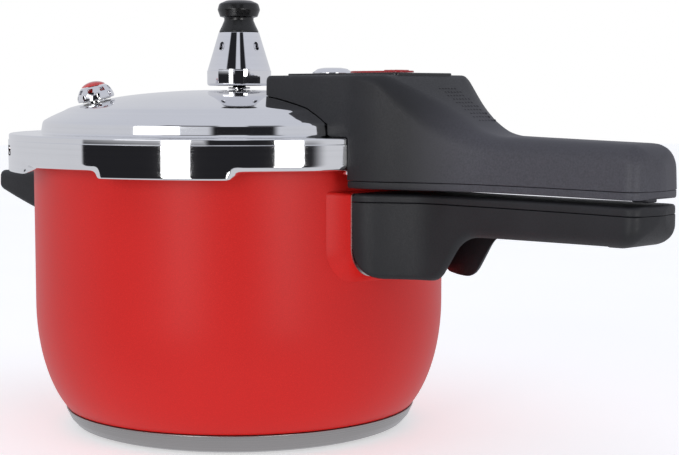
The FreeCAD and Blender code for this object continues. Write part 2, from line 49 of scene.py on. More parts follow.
# ------------------------------------------------------------ mesh helpers
def rounded_outline(points, steps=6):
    """Closed outline (u, v) from (u, v, corner radius), its corners turned into arcs."""
    out = []
    count = len(points)
    for i in range(count):
        u, v, r = points[i]
        p = Vector((u, v))
        if r <= 0:
            out.append((u, v))
            continue
        a = (Vector(points[i - 1][:2]) - p).normalized()
        b = (Vector(points[(i + 1) % count][:2]) - p).normalized()
        half = a.angle(b) / 2
        centre = p + (a + b).normalized() * (r / math.sin(half))
        start = p + a * (r / math.tan(half)) - centre
        stop = p + b * (r / math.tan(half)) - centre
        sweep = math.pi - 2 * half
        sign = 1 if start.x * stop.y - start.y * stop.x > 0 else -1
        for k in range(steps + 1):
            t = sign * sweep * k / steps
            out.append((centre.x + start.x * math.cos(t) - start.y * math.sin(t),
                        centre.y + start.x * math.sin(t) + start.y * math.cos(t)))
    return out


def smooth_line(points, per=6):
    """Catmull-Rom line through (u, v) points."""
    out = []
    for i in range(len(points) - 1):
        p0 = Vector(points[max(i - 1, 0)])
        p1 = Vector(points[i])
        p2 = Vector(points[i + 1])
        p3 = Vector(points[min(i + 2, len(points) - 1)])
        for k in range(per):
            t = k / per
            q = 0.5 * ((2 * p1) + (p2 - p0) * t + (2 * p0 - 5 * p1 + 4 * p2 - p3) * t * t
                       + (3 * p1 - p0 - 3 * p2 + p3) * t ** 3)
            out.append((q.x, q.y))
    out.append(tuple(points[-1]))
    return out


def lookup(line, x):
    """Height of a left-to-right (x, y) line at x."""
    for (x0, y0), (x1, y1) in zip(line, line[1:]):
        if x0 <= x <= x1 and x1 > x0:
            return y0 + (y1 - y0) * (x - x0) / (x1 - x0)
    return line[0][1] if x < line[0][0] else line[-1][1]


def resample(points, count):
    """The same number of points spread evenly by length along an open line."""
    lengths = [0.0]
    for a, b in zip(points, points[1:]):
        lengths.append(lengths[-1] + math.dist(a, b))
    out = []
    for k in range(count):
        s = lengths[-1] * k / (count - 1)
        i = 0
        while i < len(lengths) - 2 and lengths[i + 1] < s:
            i += 1
        span = lengths[i + 1] - lengths[i]
        t = (s - lengths[i]) / span if span > 0 else 0.0
        out.append(tuple(p + (q - p) * t for p, q in zip(points[i], points[i + 1])))
    return out


def smoothstep(t):
    t = min(1.0, max(0.0, t))
    return t * t * (3 - 2 * t)


def make(name, verts, faces, angle=32, weld=True):
    """Object from mm vertices: welded, normals out, smooth except across sharp edges."""
    mesh = bpy.data.meshes.new(name)
    mesh.from_pydata([(x * MM, y * MM, z * MM) for x, y, z in verts], [], faces)
    bm = bmesh.new()
    bm.from_mesh(mesh)
    if weld:
        bmesh.ops.remove_doubles(bm, verts=bm.verts, dist=2e-6)
    bmesh.ops.dissolve_degenerate(bm, edges=bm.edges, dist=1e-7)
    loose = [v for v in bm.verts if not v.link_faces]
    bmesh.ops.delete(bm, geom=loose, context="VERTS")
    bmesh.ops.recalc_face_normals(bm, faces=bm.faces)
    if bm.calc_volume(signed=True) < 0:
        bmesh.ops.reverse_faces(bm, faces=bm.faces)
    bm.to_mesh(mesh)
    bm.free()
    obj = bpy.data.objects.new(name, mesh)
    SCENE.collection.objects.link(obj)
    soften(obj, angle)
    return obj


def soften(obj, angle=32):
    mesh = obj.data
    mesh.shade_smooth()
    mesh.set_sharp_from_angle(angle=math.radians(angle))


def grid(name, rows, angle=32, closed_rows=True, caps=False):
    """Surface through rows of (x, y, z) points; every row is a closed loop."""
    n = len(rows[0])
    verts = [p for row in rows for p in row]
    faces = []
    last = len(rows) if closed_rows else len(rows) - 1
    for j in range(last):
        a = j * n
        b = ((j + 1) % len(rows)) * n
        for i in range(n):
            k = (i + 1) % n
            faces.append((a + i, a + k, b + k, b + i))
    if caps:
        faces.append(tuple(range(n - 1, -1, -1)))
        faces.append(tuple((len(rows) - 1) * n + i for i in range(n)))
    return make(name, verts, faces, angle)


def lathe(name, section, segs=160, x=0.0, y=0.0, angle=32):
    """Turned piece from a closed (radius, height) outline, or a function of the turn angle giving one."""
    rows = []
    for j in range(segs):
        a = 2 * math.pi * j / segs
        pts = section(math.degrees(a)) if callable(section) else section
        rows.append([(x + r * math.cos(a), y + r * math.sin(a), z) for r, z in pts])
    return grid(name, rows, angle)


def plate(name, outline, levels, angle=32):
    """Solid from a plan outline (x, y) and (inset, z) levels from bottom to top."""
    n = len(outline)
    normals = []
    for i in range(n):
        a = Vector(outline[i - 1])
        b = Vector(outline[(i + 1) % n])
        d = (b - a).normalized()
        normals.append((d.y, -d.x))
    area = sum(outline[i - 1][0] * outline[i][1] - outline[i][0] * outline[i - 1][1] for i in range(n))
    sign = 1.0 if area > 0 else -1.0
    rows = []
    for inset, z in levels:
        move = sign * inset
        rows.append([(p[0] - move * q[0], p[1] - move * q[1], z) for p, q in zip(outline, normals)])
    return grid(name, rows, angle, closed_rows=False, caps=True)


def edge_levels(low, high, bottom, top, steps=4):
    """Levels of a plate whose lower and upper edges are rounded."""
    out = []
    for k in range(steps + 1):
        t = math.pi / 2 * k / steps
        out.append((bottom * (1 - math.sin(t)), low + bottom * (1 - math.cos(t))))
    for k in range(steps + 1):
        t = math.pi / 2 * k / steps
        out.append((top * (1 - math.cos(t)), high - top * (1 - math.sin(t))))
    return out


def rectangle(x0, x1, y0, y1, r, steps=8):
    return rounded_outline([(x0, y0, r), (x1, y0, r), (x1, y1, r), (x0, y1, r)], steps)


def carve(obj, *cutters, operation="DIFFERENCE", angle=32):
    """Boolean with other objects, which are used up."""
    for cutter in cutters:
        mod = obj.modifiers.new("cut", "BOOLEAN")
        mod.object = cutter
        mod.operation = operation
        mod.solver = "EXACT"
        bpy.context.view_layer.update()
        done = bpy.data.meshes.new_from_object(obj.evaluated_get(bpy.context.evaluated_depsgraph_get()))
        obj.modifiers.clear()
        old = obj.data
        obj.data = done
        bpy.data.meshes.remove(old)
        bpy.data.objects.remove(cutter)
    bm = bmesh.new()
    bm.from_mesh(obj.data)
    bmesh.ops.remove_doubles(bm, verts=bm.verts, dist=1e-6)
    bmesh.ops.dissolve_degenerate(bm, edges=bm.edges, dist=1e-6)
    bm.to_mesh(obj.data)
    bm.free()
    soften(obj, angle)
    return obj


def rod(r, low, high, x=0.0, y=0.0, segs=48):
    return lathe("cutter", [(0, low), (r, low), (r, high), (0, high)], segs, x, y)


def block(x0, x1, y0, y1, z0, z1):
    return plate("cutter", [(x0, y0), (x1, y0), (x1, y1), (x0, y1)], [(0, z0), (0, z1)])


def place(obj, matrix):
    obj.data.transform(matrix)
    obj.data.update()
    return obj


def turned_to(obj, axis, at):
    """Moves a piece made round the Z axis so that it runs along another axis from a point in mm."""
    turn = Vector((0, 0, 1)).rotation_difference(Vector(axis)).to_matrix().to_4x4()
    return place(obj, Matrix.Translation(Vector(at) * MM) @ turn)


# ------------------------------------------------------------ materials
class Mat:
    """Small helper round one node material."""

    def __init__(self, name, **sockets):
        self.m = bpy.data.materials.new(name)
        self.m.use_nodes = True
        self.t = self.m.node_tree
        self.b = self.t.nodes["Principled BSDF"]
        self.xyz = self.add("ShaderNodeTexCoord").outputs["Object"]
        for key, value in sockets.items():
            self.b.inputs[key.replace("_", " ")].default_value = value

    def add(self, kind, **props):
        node = self.t.nodes.new(kind)
        for key, value in props.items():
            setattr(node, key, value)
        return node

    def link(self, a, b):
        self.t.links.new(a, b)

    def noise(self, scale, detail=3.0, rough=0.55, where=None, stretch=None):
        node = self.add("ShaderNodeTexNoise")
        node.inputs["Scale"].default_value = scale
        node.inputs["Detail"].default_value = detail
        node.inputs["Roughness"].default_value = rough
        source = where or self.xyz
        if stretch:
            scaled = self.add("ShaderNodeVectorMath", operation="MULTIPLY")
            scaled.inputs[1].default_value = stretch
            self.link(source, scaled.inputs[0])
            source = scaled.outputs[0]
        self.link(source, node.inputs["Vector"])
        return node.outputs["Fac"]

    def ramp(self, fac, *stops):
        node = self.add("ShaderNodeValToRGB")
        ramp = node.color_ramp
        while len(ramp.elements) < len(stops):
            ramp.elements.new(0.5)
        for element, (pos, value) in zip(ramp.elements, stops):
            element.position = pos
            colour = value if isinstance(value, tuple) else (value, value, value)
            element.color = (*colour, 1.0)
        self.link(fac, node.inputs["Fac"])
        return node.outputs["Color"]

    def spread(self, fac, low, high, into):
        node = self.add("ShaderNodeMapRange")
        node.inputs["From Min"].default_value = 0.25
        node.inputs["From Max"].default_value = 0.75
        node.inputs["To Min"].default_value = low
        node.inputs["To Max"].default_value = high
        self.link(fac, node.inputs["Value"])
        self.link(node.outputs["Result"], self.b.inputs[into])

    def bump(self, height, strength, distance, after=None):
        node = self.add("ShaderNodeBump")
        node.inputs["Strength"].default_value = strength
        node.inputs["Distance"].default_value = distance
        self.link(height, node.inputs["Height"])
        if after:
            self.link(after, node.inputs["Normal"])
        self.link(node.outputs["Normal"], self.b.inputs["Normal"])
        return node.outputs["Normal"]

    def polar(self):
        """(radius, 0, height) of the surface point about the pot's axis, in metres."""
        split = self.add("ShaderNodeSeparateXYZ")
        self.link(self.xyz, split.inputs[0])
        flat = self.add("ShaderNodeCombineXYZ")
        self.link(split.outputs[0], flat.inputs[0])
        self.link(split.outputs[1], flat.inputs[1])
        length = self.add("ShaderNodeVectorMath", operation="LENGTH")
        self.link(flat.outputs[0], length.inputs[0])
        out = self.add("ShaderNodeCombineXYZ")
        self.link(length.outputs["Value"], out.inputs[0])
        self.link(split.outputs[2], out.inputs[2])
        return out.outputs[0]


def enamel_red():
    k = Mat("red_enamel", Roughness=0.4, Coat_Weight=0.05, Coat_Roughness=0.3, Specular_IOR_Level=0.27)
    fine = k.noise(2600.0, 2.0, 0.6)
    broad = k.noise(14.0, 2.0)
    tone = k.add("ShaderNodeMix", data_type="RGBA")
    speckle = k.ramp(fine, (0.30, (0.48, 0.008, 0.006)), (0.62, (0.64, 0.012, 0.009)),
                     (0.78, (0.80, 0.05, 0.038)))
    k.link(speckle, tone.inputs[6])
    k.link(k.ramp(broad, (0.3, (0.58, 0.010, 0.007)), (0.7, (0.66, 0.014, 0.010))), tone.inputs[7])
    tone.inputs[0].default_value = 0.45
    k.link(tone.outputs[2], k.b.inputs["Base Color"])
    k.spread(fine, 0.36, 0.48, "Roughness")
    k.bump(fine, 0.12, 0.0002)
    return k.m


def steel(name, colour, rough, rings=0.0, scale=900.0, bump=0.03):
    """Polished or turned steel; rings is how strongly the turning marks show."""
    k = Mat(name, Metallic=1.0)
    marks = k.noise(scale, 3.0, 0.6, where=k.polar())
    cloud = k.noise(30.0, 3.0)
    dark = tuple(c * (1 - 0.10 - 0.25 * rings) for c in colour)
    tone = k.add("ShaderNodeMix", data_type="RGBA")
    k.link(k.ramp(marks, (0.3, dark), (0.7, colour)), tone.inputs[6])
    k.link(k.ramp(cloud, (0.3, tuple(c * 0.95 for c in colour)), (0.7, colour)), tone.inputs[7])
    tone.inputs[0].default_value = 0.5
    k.link(tone.outputs[2], k.b.inputs["Base Color"])
    k.spread(marks, rough * 0.7, rough * 1.3, "Roughness")
    k.bump(marks, bump, 0.0001)
    return k.m


def plastic(name, dark, light, low, high, grain=1500.0, bump=0.18, grip_sheen=None):
    """Moulded black plastic with a fine spark-eroded grain and faint pale scuffs; the grip carries a painted
    sheen, mixed to a lighter bluish grey.
    """
    k = Mat(name, Specular_IOR_Level=0.5)
    grained = k.noise(grain, 2.0, 0.6)
    cloud = k.noise(45.0, 4.0, 0.6)
    specks = k.add("ShaderNodeTexVoronoi", feature="F1")
    specks.inputs["Scale"].default_value = 160.0
    k.link(k.xyz, specks.inputs["Vector"])
    dust = k.ramp(specks.outputs["Distance"], (0.0, 1.0), (0.035, 0.0))
    tone = k.add("ShaderNodeMix", data_type="RGBA")
    k.link(k.ramp(cloud, (0.3, dark), (0.7, light)), tone.inputs[6])
    tone.inputs[7].default_value = (0.16, 0.16, 0.165, 1.0)
    part = k.add("ShaderNodeMath", operation="MULTIPLY")
    k.link(dust, part.inputs[0])
    k.link(k.ramp(k.noise(9.0, 2.0), (0.5, 0.0), (0.8, 0.5)), part.inputs[1])
    k.link(part.outputs[0], tone.inputs[0])
    colour = tone.outputs[2]
    # Painted sheen: past x 128-165 mm, above z 120.8 mm (the upper handle only), the colour is mixed to a
    # lighter bluish grey that stands in for overhead light on the grip.
    if grip_sheen:
        split = k.add("ShaderNodeSeparateXYZ")
        k.link(k.xyz, split.inputs[0])
        amount = []
        for axis, start, stop in ((0, 0.128, 0.165), (2, 0.1193, 0.1208)):
            edge = k.add("ShaderNodeMapRange", interpolation_type="SMOOTHSTEP")
            edge.inputs["From Min"].default_value = start
            edge.inputs["From Max"].default_value = stop
            k.link(split.outputs[axis], edge.inputs["Value"])
            amount.append(edge.outputs["Result"])
        both = k.add("ShaderNodeMath", operation="MULTIPLY")
        k.link(amount[0], both.inputs[0])
        k.link(amount[1], both.inputs[1])
        grip = k.add("ShaderNodeMix", data_type="RGBA")
        sheen_tone = k.ramp(grained, (0.3, tuple(c * 0.75 for c in grip_sheen)), (0.7, tuple(c * 1.2 for c in grip_sheen)))
        k.link(both.outputs[0], grip.inputs[0])
        k.link(colour, grip.inputs[6])
        k.link(sheen_tone, grip.inputs[7])
        colour = grip.outputs[2]
    k.link(colour, k.b.inputs["Base Color"])
    k.spread(grained, low, high, "Roughness")
    k.bump(grained, bump, 0.00012)
    return k.m


def tinted(name, dark, light, low, high, **more):
    k = Mat(name, **more)
    cloud = k.noise(220.0, 3.0)
    k.link(k.ramp(cloud, (0.3, dark), (0.7, light)), k.b.inputs["Base Color"])
    k.spread(cloud, low, high, "Roughness")
    k.bump(k.noise(1800.0, 2.0), 0.05, 0.0001)
    return k.m


RED = enamel_red()
MIRROR = steel("steel_polished", (0.86, 0.86, 0.87), 0.05, 0.0, 700.0, 0.0015)
TURNED = steel("steel_turned", (0.44, 0.42, 0.41), 0.30, 0.8, 2600.0, 0.25)
BRUSHED = steel("steel_brushed", (0.62, 0.61, 0.60), 0.30, 0.5, 1800.0, 0.12)
SATIN = steel("steel_satin", (0.70, 0.695, 0.69), 0.22, 0.3, 1200.0, 0.05)
CHROME = steel("chrome", (0.86, 0.86, 0.88), 0.04, 0.0, 500.0, 0.0015)
# handle_black's last colour is a painted sheen: the lighter bluish grey painted on the upper handle's grip.
BLACK = plastic("handle_black", (0.006, 0.006, 0.008), (0.011, 0.011, 0.014), 0.46, 0.62, 1300.0, 0.30,
                grip_sheen=(0.055, 0.054, 0.066))
GLOSS = plastic("trim_black", (0.005, 0.005, 0.006), (0.009, 0.009, 0.010), 0.20, 0.30, 900.0, 0.05)
CAP = plastic("cap_black", (0.004, 0.004, 0.004), (0.008, 0.008, 0.008), 0.20, 0.32, 900.0, 0.06)
RUBBER = tinted("seal_rubber", (0.55, 0.54, 0.51), (0.66, 0.65, 0.61), 0.5, 0.65)
RED_TRIM = tinted("red_plastic", (0.42, 0.010, 0.012), (0.52, 0.016, 0.018), 0.22, 0.34)
RED_CLEAR = tinted("red_clear", (0.62, 0.02, 0.02), (0.78, 0.05, 0.04), 0.08, 0.16, Coat_Weight=0.5)

SLOT_MATERIAL = {
    "red_enamel": RED, "aluminium": BRUSHED, "steel_brushed": BRUSHED, "steel_polished": MIRROR,
    "handle_black": BLACK, "trim_black": GLOSS, "screw_steel": SATIN, "seal_rubber": RUBBER,
    "chrome_trim": CHROME, "red_plastic": RED_TRIM, "red_clear": RED_CLEAR, "cap_black": CAP,
}
SLOT_OF = {s["node"]: s["material_slot"] for s in frame["record"]["subparts"]}
BODY_OF = {n: body for body, members in frame["record"]["behaviour"]["bodies"].items() for n in members}


def stand_for(obj, node, material=None):
    """The piece takes a CAD node's place, body and slot."""
    obj.data.materials.clear()
    obj.data.materials.append(material or SLOT_MATERIAL[SLOT_OF[node]])
    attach(obj, BODY_OF[node])
    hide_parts(node)
    return obj


def belongs(obj, body, slot, material=None):
    obj.data.materials.clear()
    obj.data.materials.append(material or SLOT_MATERIAL[slot])
    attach(obj, body)
    return obj


# ------------------------------------------------------------ sizes shared with the CAD, mm
POT_R = 100.0
RIM_LOW = 130.4
RIM_TOP = 133.2
RIM_R = 103.4
LUG_R = 108.4
SKIRT_R = 111.9
LID_T = 1.2
FLOAT_X = 64.6
VALVE_DEG = -120.0
GRIP_END = 244.0
WALL_LOW = 60.7
SADDLE_X = 106.0
SLOPE = 0.624
HANDLE_SCREWS_X = (152.0, 222.0)
DOME = [(0.0, 163.6), (27.0, 163.1), (55.0, 160.7), (79.0, 155.9), (86.0, 153.2), (91.5, 150.7),
        (94.6, 149.0)]
DOME_LINE = smooth_line(DOME, 8)
FACE_OUT = Matrix(((0, 0, 1, 0), (1, 0, 0, 0), (0, 1, 0, 0), (0, 0, 0, 1)))


def wall_radius(z, t=0.0):
    """Outer radius of the pot at height z, or the inner one for a wall of thickness t."""
    if z >= WALL_LOW:
        return POT_R - t
    u = (WALL_LOW - z) / (58.7 - t)
    return POT_R - 28.4 + (28.4 - t) * math.sqrt(max(0.0, 1 - u * u))


def lug_share(deg, half, ease):
    """1 in the middle of a lug, 0 between lugs; six lugs, the first at 30 degrees."""
    off = abs((deg - 30.0 + 30.0) % 60.0 - 30.0)
    return 1.0 - smoothstep((off - half + ease / 2) / ease)


# ------------------------------------------------------------ pot
def pot_section(deg):
    share = lug_share(deg, 12.0, 1.6)
    tip = RIM_R - 0.1 + (LUG_R - RIM_R) * share
    heights = [10.0 + (WALL_LOW - 10.0) * k / 20 for k in range(21)]
    skin = 0.22
    outer = [(0, 5.65), (40.0, 5.65), (72.0, 5.7), (78.0, 6.4), (82.3, 7.9)]
    outer += [(wall_radius(z) - skin, z) for z in heights]
    outer += [(POT_R - skin, z) for z in (80.0, 100.0, 118.0, 128.4)]
    rim = rounded_outline([(POT_R - skin, RIM_LOW, 1.2), (tip, RIM_LOW, 0.7), (tip, RIM_TOP, 0.9),
                           (POT_R - 1.5, RIM_TOP, 0.9), (POT_R - 1.5, 90, 0), (POT_R - skin, 90, 0)], 4)[:-2]
    inner = [(POT_R - 1.5, z) for z in (120.0, 90.0)]
    falling = [12.0 + (WALL_LOW - 12.0) * k / 20 for k in range(20, -1, -1)]
    inner += [(wall_radius(z, 1.5), z) for z in falling]
    inner += [(81.4, 9.6), (77.0, 8.0), (72.0, 7.4), (40.0, 7.4), (0, 7.4)]
    return outer + rim + inner


def build_pot():
    shell = lathe("pot_shell", pot_section, 360)
    stand_for(shell, "pot_body", BRUSHED)
    line = [(wall_radius(z), z) for z in [9.7 + (WALL_LOW - 9.7) * k / 28 for k in range(29)]]
    line += [(POT_R, z) for z in (75.0, 90.0, 105.0, 120.0, 127.4, 128.0)]
    back = [(POT_R - 0.2, 128.2), (POT_R - 0.2, 90.0)]
    back += [(wall_radius(z) - 0.2, z) for z in [WALL_LOW - (WALL_LOW - 9.9) * k / 28 for k in range(29)]]
    belongs(lathe("pot_enamel", line + back, 288), "pot", "red_enamel")

    cap = rounded_outline([(0, 0, 0), (77.6, 0, 2.2), (81.4, 1.4, 2.0), (84.2, 4.6, 3.0), (86.4, 9.3, 0.35),
                           (85.5, 9.35, 0.2), (83.2, 6.4, 1.0), (80.0, 4.4, 1.0), (74.0, 3.4, 0),
                           (0, 3.4, 0)], 6)
    base = lathe("base_cup", cap, 288)
    stand_for(base, "base_cap", TURNED)


def bracket_ring(x, half, low, high, r, wrap):
    pts = rounded_outline([(-half, high, 1.6), (half, high, 1.6), (half, low, r), (-half, low, r)], 8)
    full = resample([*pts, pts[0]], 201)[:-1]
    if wrap:
        return [(math.sqrt(wrap ** 2 - y * y), y, z) for y, z in full]
    return [(x, y, z) for y, z in full]


def build_bracket():
    """Painted saddle: flares onto the wall, with a bare metal lip where the handle sits."""
    rows = []
    for t in (0.0, 0.08, 0.2, 0.4, 0.65, 0.85, 1.0):
        flare = (1 - t) ** 2.2
        half = 30.0 + 4.0 * flare
        low = 81.5 - 3.4 * flare
        ring = bracket_ring(SADDLE_X, half, low, 118.4 + 0.5 * flare, 13.0 + 1.5 * flare, None)
        wall = bracket_ring(0, half, low, 118.4 + 0.5 * flare, 13.0 + 1.5 * flare, 100.06)
        rows.append([tuple(p + (q - p) * t for p, q in zip(a, b)) for a, b in zip(wall, ring)])
    rows.append([(SADDLE_X, y * 0.93, 100 + (z - 100) * 0.93) for x, y, z in rows[-1]])
    rows.append([(100.2 if abs(y) < 20 else 101.0, y * 0.6, 100 + (z - 100) * 0.6) for x, y, z in rows[0]])
    bracket = grid("pot_saddle", rows)
    stand_for(bracket, "pot_bracket", RED)
    lip = bracket_ring(SADDLE_X, 30.15, 81.35, 118.55, 13.1, None)
    inner = bracket_ring(SADDLE_X, 29.3, 82.2, 117.7, 12.6, None)
    edge = grid("saddle_lip", [[(105.45, y, z) for x, y, z in lip], [(106.1, y, z) for x, y, z in lip],
                               [(106.1, y, z) for x, y, z in inner], [(105.45, y, z) for x, y, z in inner]])
    belongs(edge, "pot", "steel_brushed")


# ------------------------------------------------------------ handles
def section_ring(x, w, low, high, r_low, r_high, draft=0.0, steps=7):
    """Closed YZ loop: flat bottom, rounded corners."""
    top_w = max(0.3, w - draft)
    r_high = min(r_high, top_w * 0.95, (high - low) * 0.48)
    r_low = min(r_low, w * 0.95, (high - low) * 0.48)
    pts = rounded_outline([(-w, low, r_low), (w, low, r_low), (top_w, high, r_high),
                           (-top_w, high, r_high)], steps)
    return [(x, y, z) for y, z in pts]


def end_plan(stations, end, r=6.0, bulge=2.4):
    """(x, half width) line running to the rounded tip of a grip."""
    line = smooth_line(stations, 6)
    w = line[-1][1]
    tip = rounded_outline([(end - 40, w, 0), (end - bulge, w, r), (end, 0, 0), (end - 40, 0, 0)], 8)
    side_line = [p for p in line if p[0] < tip[1][0] - 0.5]
    return side_line + [p for p in tip[1:-1] if p[1] > 0.0] + [(end - 0.02, 2.0)]


LID_PLAN = [(47.0, 28.0), (66.0, 28.6), (84.0, 30.0), (98.0, 32.6), (109.0, 34.2), (120.0, 32.6),
            (134.0, 27.0), (150.0, 20.6), (168.0, 16.6), (190.0, 15.2), (215.0, 15.5), (239.0, 16.4)]
POT_PLAN = [(106.2, 30.0), (113.0, 28.0), (122.0, 21.5), (134.0, 15.2), (150.0, 13.8),
            (180.0, 13.8), (215.0, 14.6), (239.0, 15.6)]


def stations_for(start, end, step=2.2):
    xs = [start + (end - 14 - start) * k / int((end - 14 - start) / step)
          for k in range(int((end - 14 - start) / step) + 1)]
    xs += [end - 14.06 + 14 * math.sin(math.pi / 2 * k / 18) for k in range(1, 19)]
    return xs


def lid_keepout(grow=0.35, low=100.0):
    wall = 96.6 + grow
    flange = 142.8 + grow
    out = [(0, low), (SKIRT_R + grow, low)]
    out += rounded_outline([(SKIRT_R + grow, low, 0), (SKIRT_R + grow, flange, 1.3 + grow), (wall, flange, 0),
                            (wall, low, 0)], 8)[1:-2]
    out += [(wall + 2.0, flange), (wall + 0.6, flange + 0.6), (wall, flange + 2.0), (wall, 148.2 + grow)]
    out += [(r, z + grow) for r, z in reversed(DOME_LINE)]
    return lathe("cutter", out, 240)


def build_lid_handle():
    plan = end_plan(LID_PLAN, GRIP_END)
    top = rounded_outline([(47.0, 110, 0), (47.0, 170.0, 2.6), (122.0, 170.0, 5.0), (163.0, 144.4, 34.0),
                           (GRIP_END, 142.4, 10.0), (GRIP_END, 110, 0)], 10)[1:-1]
    rows = []
    for x in [47.02, 47.1, 47.3, 47.6, 48.0, 48.5, 49.1, 49.9] + stations_for(51.0, GRIP_END, 2.0):
        w = lookup(plan, x)
        if x < 50.0:
            w = w - 3.0 + math.sqrt(max(0.0, 9.0 - (50.0 - x) ** 2))
        high = lookup(top, x)
        soft = 2.0 + 11.5 * smoothstep((x - 106.0) / 38.0) - 4.5 * smoothstep((x - 160.0) / 34.0)
        end_fade = smoothstep((x - (GRIP_END - 10)) / 10.0)
        draft = 0.9 + 0.8 * smoothstep((x - 140) / 30) * (1 - end_fade)
        rows.append(section_ring(x, w, 124.45, high, 0.3, soft, draft))
    body = grid("lid_handle_shell", rows, 36, closed_rows=False, caps=True)
    cutters = [lid_keepout(0.35), rod(4.5, 120, 190, FLOAT_X, 0), block(84, 108.6, -3.3, 3.3, 158, 180),
               plate("cutter", rectangle(52.8, 122.2, -19.2, 19.2, 3.0), [(0, 169.05), (0, 175)])]
    for y in (-5.5, 5.5):
        cutters.append(rod(3.6, 158, 171, 116.0, y))
    for x in HANDLE_SCREWS_X:
        cutters.append(rod(2.0, 120, 138, x, 0))
    carve(body, *cutters, angle=36)
    stand_for(body, "lid_handle")

    base_rows = []
    low_z = 121.1
    foot_round = rounded_outline([(60, 124.4, 0), (60, low_z, 0), (GRIP_END, low_z, 3.0),
                                  (GRIP_END, 124.4, 0)], 6)
    under = [p for p in foot_round if p[1] < 124.39 and p[0] > 60.5]
    for x in stations_for(106.0, GRIP_END, 2.0):
        w = lookup(plan, x) - 0.25
        low = lookup([(60, low_z)] + under, x)
        base_rows.append(section_ring(x, w, low, 124.25, 1.2, 0.35))
    cover = grid("lid_handle_cover", base_rows, 36, closed_rows=False, caps=True)
    holes = [rod(SKIRT_R + 0.35, 100, 150, segs=240)]
    for x in HANDLE_SCREWS_X:
        holes += [rod(2.15, 110, 130, x, 0), rod(4.2, 110, low_z + 1.6, x, 0)]
    carve(cover, *holes, angle=36)
    foot = plate("cutter", rectangle(231.5, 239.5, -3.6, 3.6, 1.5), edge_levels(119.7, 122.2, 0.6, 0.0))
    carve(cover, foot, operation="UNION", angle=36)
    stand_for(cover, "lid_handle_base")


def build_grip_dots():
    """Patch of small raised dots on the slope of the upper handle."""
    lean = math.atan(SLOPE)
    verts = []
    faces = []
    for row in range(10):
        for column in range(6):
            x = 131.5 + 2.4 * row
            y = -1.5 + 2.0 * column + row % 2
            z = 170.0 - SLOPE * (x - 122.0)
            first = len(verts)
            for r, h in ((0.62, -0.5), (0.62, 0.02), (0.46, 0.16), (0.2, 0.24)):
                for k in range(10):
                    a = math.tau * k / 10
                    u = r * math.cos(a)
                    verts.append((x + u * math.cos(lean) + h * math.sin(lean), y + r * math.sin(a),
                                  z - u * math.sin(lean) + h * math.cos(lean)))
            for ring in range(3):
                for k in range(10):
                    a = first + 10 * ring + k
                    b = first + 10 * ring + (k + 1) % 10
                    faces.append((a, b, b + 10, a + 10))
            faces.append(tuple(range(first + 30, first + 40)))
            faces.append(tuple(reversed(range(first, first + 10))))
    belongs(make("grip_dots", verts, faces), "lid", "handle_black")


def build_top_trim():
    trim = plate("handle_top_trim", rectangle(53, 122, -19, 19, 2.8, 8), edge_levels(169.1, 170.9, 0.0, 0.5))
    carve(trim, rod(4.45, 160, 180, FLOAT_X, 0), block(84, 108.6, -3.3, 3.3, 158, 180))
    stand_for(trim, "top_plate")
    pad = plate("lock_button_pad", rectangle(79.5, 112, -6.5, 6.5, 5.0, 10),
                edge_levels(171.2, 172.0, 0.0, 0.5))
    stem = plate("cutter", rectangle(84.6, 102, -2.9, 2.9, 1.0, 3), [(0, 164.4), (0, 171.5)])
    carve(pad, stem, operation="UNION")
    for x in (101.0, 104.0, 107.0):
        rib = plate("cutter", rectangle(x, x + 1.3, -4.6, 4.6, 0.6, 4),
                    edge_levels(171.6, 172.38, 0.0, 0.35, 3))
        carve(pad, rib, operation="UNION")
    stand_for(pad, "lock_slider")
    bezel = rounded_outline([(2.9, 165.5, 0.2), (4.2, 165.5, 0.2), (4.2, 171.0, 0), (9.4, 171.0, 0.15),
                             (9.4, 171.5, 0.35), (6.8, 173.2, 2.0), (3.9, 173.7, 0.4), (2.9, 173.0, 0.3)], 5)
    stand_for(lathe("indicator_bezel", bezel, 96, FLOAT_X), "float_bezel")
    pin = rounded_outline([(0, 148.5, 0), (4.6, 148.5, 0.5), (4.6, 150.5, 0.5), (2.65, 150.5, 0.2),
                           (2.65, 172.9, 0.8), (0, 172.9, 0)], 5)
    stand_for(lathe("indicator_pin", pin, 64, FLOAT_X), "float_pin")


